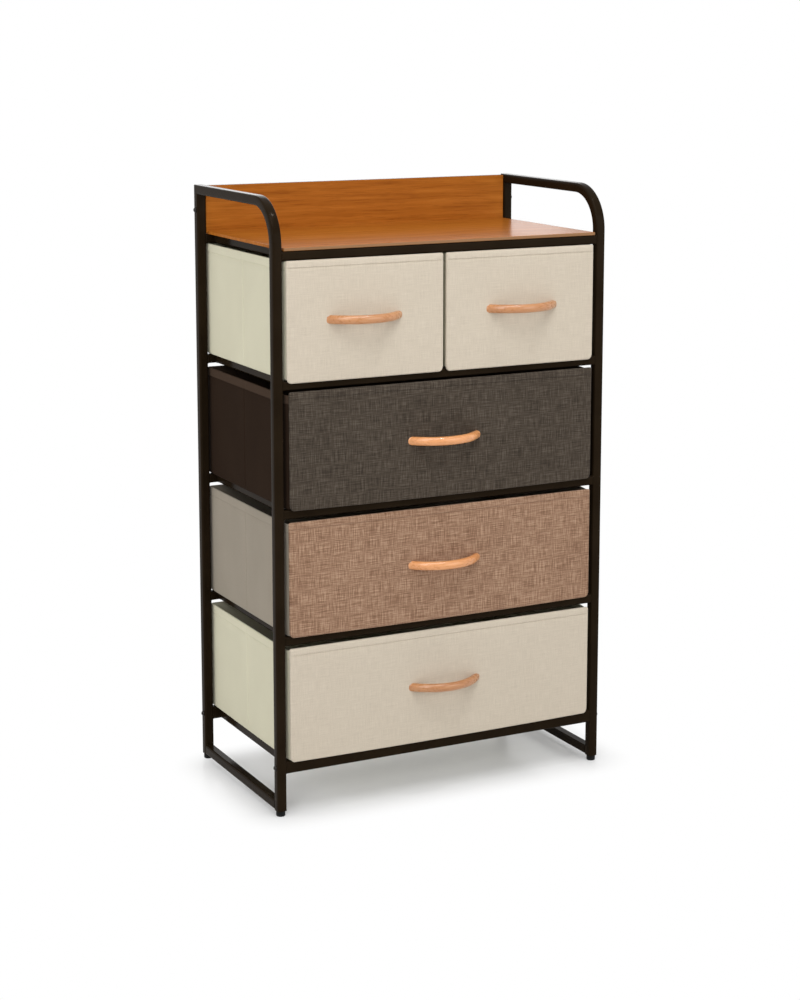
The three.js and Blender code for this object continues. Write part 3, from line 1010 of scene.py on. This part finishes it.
def panel_rise(across, level, half, low, high, seed):
    """Thickness of the covered panel over its edge: crown, hem fold and small waves."""
    middle = (low + high) / 2
    rise = PANEL_CROWN
    for distance, reach in ((abs(across), half), (abs(level - middle), middle - low)):
        rise *= math.cos(math.pi / 2 * min(distance / reach, 1.0)) ** PANEL_CROWN_POWER
    rise += PANEL_WAVE * ripple(across, level, seed, PANEL_WAVE_SCALES)
    hem = high - HEM_HEIGHT
    rise += HEM_RISE * smooth_step((level - hem) / HEM_STEP)
    rise -= HEM_GROOVE * math.exp(-(((level - hem + HEM_GROOVE_DROP) / HEM_GROOVE_HALF_WIDTH) ** 2))
    return rise


def cloth_front(name, cloth, wide, fit, seed):
    node = f"{name}_front"
    low, high = (Vector(corner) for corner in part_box(node))
    low.z -= fit.foot_drop
    high.z -= fit.top_drop
    low.x -= fit.left_shift
    high.x -= fit.right_shift
    half = (high.x - low.x) / 2
    middle = (low.x + high.x) / 2
    thick = high.y - low.y - PANEL_CROWN
    hem = high.z - HEM_HEIGHT
    columns = panel_places(-half, half, PANEL_STEP, edge_marks(-half, half, PANEL_EDGE))
    row_marks = edge_marks(low.z, high.z, PANEL_EDGE) + [hem + rise for rise in HEM_ROWS]
    rows = panel_places(low.z, high.z, PANEL_STEP, row_marks)
    verts = []
    uvs = []
    index = {}
    for row, level in enumerate(rows):
        drawn = side_draw(level, low.z, high.z)
        for column, across in enumerate(columns):
            spot = across * (half - drawn) / half
            to_edge = min(half - drawn - abs(spot), level - low.z, high.z - level)
            round_share = quarter_round(to_edge / PANEL_EDGE)
            fall = PANEL_BACK_EDGE * (1 - quarter_round(to_edge / PANEL_BACK_EDGE))
            crown = panel_rise(spot, level, half, low.z, high.z, seed)
            rise = thick + crown * smooth_step(to_edge / PANEL_CROWN_FADE)
            rise = PANEL_BACK_EDGE + (rise - PANEL_BACK_EDGE) * round_share
            sag = 0.0
            if wide:
                near_foot = smooth_step(1 - (level - low.z) / PANEL_SAG_HEIGHT)
                sag = PANEL_SAG * near_foot * (1 - (spot / half) ** 2)
            index[row, column, 0] = len(verts)
            verts.append((middle + spot, high.y - rise, level - sag))
            uvs.append((spot, level))
            if 0 < row < len(rows) - 1 and 0 < column < len(columns) - 1:
                index[row, column, 1] = len(verts)
                verts.append((middle + spot, high.y - fall, level - sag))
                uvs.append((spot, level))
            else:
                index[row, column, 1] = index[row, column, 0]
    faces = []
    for row in range(len(rows) - 1):
        for column in range(len(columns) - 1):
            corners = ((row, column), (row, column + 1), (row + 1, column + 1), (row + 1, column))
            faces.append(tuple(index[*corner, 0] for corner in corners))
            back = tuple(index[*corner, 1] for corner in reversed(corners))
            if set(back) != set(faces[-1]):
                faces.append(back)
    piece = make_mesh(f"{name}_cloth_front", verts, faces, MATERIALS[cloth], uvs)
    sharpen(piece, 70)
    place(piece, name, (node,))
    stitches(name, cloth, middle, half, hem, high, seed)


def stitches(name, cloth, middle, half, hem, high, seed):
    """Short threads along the hem, thin capsules half sunk in the cloth, deeper at their ends."""
    verts = []
    faces = []
    reach = half - STITCH_MARGIN
    count = int(2 * reach / STITCH_PITCH)
    level = hem + STITCH_LIFT
    foot_z = level - STITCH_PANEL_DEPTH
    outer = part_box(f"{name}_front")[0][1]
    for stitch in range(count):
        centre_x = middle - reach + (stitch + 0.5) * 2 * reach / count
        rise = panel_rise(centre_x - middle, level, half, foot_z, high.z, seed)
        face_y = outer + PANEL_CROWN - rise
        rings = []
        for share, size in STITCH_SECTIONS:
            radius = STITCH_THICK / 2 * size
            x = centre_x + share * STITCH_LENGTH
            y = face_y + STITCH_DIP * (2 * share) ** 2
            ring = []
            for angle in turns(STITCH_SIDES):
                ring.append((x, y + radius * math.cos(angle), level + radius * math.sin(angle)))
            rings.append(ring)
        append_part(verts, faces, *stitch_rings(rings))
    piece = make_mesh(f"{name}_hem_stitches", verts, faces, MATERIALS[f"{cloth}_thread"])
    place(piece, name)


# Handles


def bow_handle(name, shift):
    node = f"{name}_handle"
    low, high = (Vector(corner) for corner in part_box(node))
    centre = (low + high) / 2
    centre.x -= shift
    foot_y = high.y + HANDLE_SINK
    radius = ((HANDLE_SPAN / 2) ** 2 + HANDLE_REACH**2) / (HANDLE_REACH * 2)
    sweep = math.asin(HANDLE_SPAN / 2 / radius) + HANDLE_DEEP / radius
    arc_y = high.y - HANDLE_REACH + radius
    rings = []
    for step in range(HANDLE_STEPS + 1):
        share = 2 * step / HANDLE_STEPS - 1
        turn = sweep * share
        outward = Vector((math.sin(turn), -math.cos(turn), 0))
        at = Vector((centre.x, arc_y, centre.z)) + outward * radius
        taper = smooth_step((abs(share) - HANDLE_TAPER_START) / HANDLE_TAPER_REACH)
        slim = 1 - HANDLE_TAPER_SHARE * taper
        ring = []
        for angle in turns(HANDLE_SIDES):
            across, up = squared_circle(angle, HANDLE_SQUARENESS)
            across *= HANDLE_DEEP / 2 * slim
            up *= HANDLE_TALL / 2 * slim
            spot = at + outward * across + Vector((0, 0, up))
            spot.y = min(spot.y, foot_y)
            ring.append(spot)
        rings.append(ring)
    verts, faces = stitch_rings(rings)
    piece = make_mesh(f"{name}_bow_handle", verts, faces, MATERIALS[name])
    sharpen(piece, 60)
    place(piece, name, (node,))


def handle_screws(name, shift):
    """Washer and cross-recessed head behind each end of a handle, inside the bin."""
    low, high = (Vector(corner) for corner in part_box(f"{name}_handle"))
    wall_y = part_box(f"{name}_bin")[0][1] + BIN_WALL - SCREW_SINK
    level = (low.z + high.z) / 2
    middle = (low.x + high.x) / 2 - shift
    verts = []
    faces = []
    washer = [(0, 0), (WASHER_RADIUS, 0), (WASHER_RADIUS, WASHER_HEIGHT), (0, WASHER_HEIGHT)]
    head = domed_profile(SCREW_RADIUS, SCREW_HEIGHT)
    head.append((0, SCREW_HEIGHT))
    for sign in (-1, 1):
        for profile, lift in ((washer, 0), (head, WASHER_HEIGHT)):
            part_verts, part_faces = lathe(profile, SCREW_SIDES)
            placed = []
            for x, y, z in part_verts:
                recess = 0.0
                if profile is head and z > SCREW_HEIGHT * CROSS_START_SHARE:
                    arm = min(abs(x), abs(y))
                    if arm < CROSS_HALF_WIDTH and math.hypot(x, y) < CROSS_REACH:
                        recess = CROSS_DEPTH
                at_x = middle + sign * HANDLE_SPAN / 2 + x
                placed.append((at_x, wall_y + z + lift - recess, level + y))
            append_part(verts, faces, placed, [face[::-1] for face in part_faces])
    piece = make_mesh(f"{name}_handle_screws", verts, faces, MATERIALS["bolt"])
    sharpen(piece, 40)
    place(piece, name)


# Stage


def seen_or_mirrored(tree):
    """1 for rays from the camera, off glossy surfaces and through clear ones, else 0."""
    path = tree.nodes.new("ShaderNodeLightPath")
    either = path.outputs["Is Camera Ray"]
    for kind in ("Is Glossy Ray", "Is Transmission Ray"):
        larger = tree.nodes.new("ShaderNodeMath")
        larger.operation = "MAXIMUM"
        tree.links.new(either, larger.inputs[0])
        tree.links.new(path.outputs[kind], larger.inputs[1])
        either = larger.outputs[0]
    return either


def floor_material():
    """Pale floor that keeps the shadow round the feet and turns white a short way from them."""
    look = Look("pale_floor")
    place_at = look.coordinates()
    split = look.add("ShaderNodeSeparateXYZ")
    look.link(place_at, split.inputs[0])
    outside = look.add("ShaderNodeCombineXYZ")
    for axis, half in (("X", FOOTPRINT_HALF_WIDTH), ("Y", FOOTPRINT_HALF_DEPTH)):
        beyond = look.math("SUBTRACT", look.math("ABSOLUTE", split.outputs[axis]), half)
        look.link(look.math("MAXIMUM", beyond, 0.0), outside.inputs[axis])
    distance = look.add("ShaderNodeVectorMath", operation="LENGTH")
    look.link(outside.outputs[0], distance.inputs[0])
    fade = look.add("ShaderNodeMapRange", interpolation_type="SMOOTHSTEP")
    look.link(distance.outputs["Value"], fade.inputs["Value"])
    fade.inputs["From Max"].default_value = FADE_END
    fade.inputs["To Min"].default_value = FLOOR_GLOW_SHARE
    grain = look.noise(place_at, scale=30, detail=2.0)
    color = look.ramp(grain, ((0.3, (0.88,) * 3), (0.7, (0.9,) * 3)))
    look.surface("Base Color", color)
    look.surface("Roughness", look.spread(grain, 0.2, 0.24))
    look.surface("Specular IOR Level", 0.12)
    glow = look.add("ShaderNodeEmission")
    glow.inputs["Color"].default_value = (1, 1, 1, 1)
    glow.inputs["Strength"].default_value = 1.0
    blend = look.add("ShaderNodeMixShader")
    look.link(look.math("MULTIPLY", fade.outputs["Result"], seen_or_mirrored(look.tree)), blend.inputs[0])
    look.link(look.shader.outputs[0], blend.inputs[1])
    look.link(glow.outputs[0], blend.inputs[2])
    look.link(blend.outputs[0], look.tree.nodes["Material Output"].inputs["Surface"])
    return look.material


def floor():
    reach = FLOOR_REACH
    verts = [(-reach, -reach, 0), (reach, -reach, 0), (reach, reach, 0), (-reach, reach, 0)]
    make_mesh("floor", verts, [(0, 1, 2, 3)], floor_material(), smooth=False)


def area_light(name, place_at, target, width, height, power):
    data = bpy.data.lights.new(name, "AREA")
    data.shape = "RECTANGLE"
    data.size = width
    data.size_y = height
    data.energy = power
    light = bpy.data.objects.new(name, data)
    light.location = place_at
    aim = Vector(target) - Vector(place_at)
    light.rotation_euler = aim.to_track_quat("-Z", "Y").to_euler()
    bpy.context.scene.collection.objects.link(light)


def world():
    world_data = bpy.data.worlds.new("studio")
    bpy.context.scene.world = world_data
    world_data.use_nodes = True
    tree = world_data.node_tree
    tree.nodes.clear()
    output = tree.nodes.new("ShaderNodeOutputWorld")
    seen = tree.nodes.new("ShaderNodeBackground")
    seen.inputs["Color"].default_value = (1, 1, 1, 1)
    lit = tree.nodes.new("ShaderNodeBackground")
    lit.inputs["Color"].default_value = (1, 1, 1, 1)
    lit.inputs["Strength"].default_value = WORLD_LIGHT
    blend = tree.nodes.new("ShaderNodeMixShader")
    tree.links.new(seen_or_mirrored(tree), blend.inputs[0])
    tree.links.new(lit.outputs[0], blend.inputs[1])
    tree.links.new(seen.outputs[0], blend.inputs[2])
    tree.links.new(blend.outputs[0], output.inputs["Surface"])


def camera():
    data = bpy.data.cameras.new("camera")
    data.sensor_fit = "AUTO"
    data.sensor_width = CAMERA_SENSOR
    data.lens = CAMERA_LENS
    data.shift_y = CAMERA_SHIFT
    data.clip_end = CAMERA_CLIP_END
    piece = bpy.data.objects.new("camera", data)
    bpy.context.scene.collection.objects.link(piece)
    forward = Vector(
        (
            math.sin(CAMERA_YAW) * math.cos(CAMERA_PITCH),
            math.cos(CAMERA_YAW) * math.cos(CAMERA_PITCH),
            -math.sin(CAMERA_PITCH),
        )
    )
    right = Vector((math.cos(CAMERA_YAW), -math.sin(CAMERA_YAW), 0))
    up = right.cross(forward)
    turn = Matrix((right, up, -forward)).transposed().to_4x4()
    piece.matrix_world = Matrix.Translation(CAMERA_PLACE) @ turn
    bpy.context.scene.camera = piece


def build():
    for node in frame["nodes"]:
        if node.endswith(("_rail", "_rear_post")):
            repaint(node, "coat")
        elif node.endswith("_base_board"):
            repaint(node, "fibre")
    repaint("shelf_board", "shelf")
    repaint("backboard", "backboard")
    for side, sign in (("left", -1), ("right", 1)):
        guard_post(side)
        for end in ("front", "rear"):
            foot(f"{side}_{end}_foot")
            bolt(f"{side}_{end}_base_bolt", sign)
        bolt(f"{side}_backboard_bolt", sign)
    welds()
    for seed, (name, cloth, side_cloth, wide, fit) in enumerate(DRAWERS):
        cloth_bin(name, side_cloth, fit.rim_drop, seed)
        cloth_front(name, cloth, wide, fit, seed)
        bow_handle(name, fit.handle_shift)
        handle_screws(name, fit.handle_shift)


camera()
build()
floor()
for lamp in LAMPS:
    area_light(*lamp)
world()
bpy.context.scene.view_settings.view_transform = "Standard"
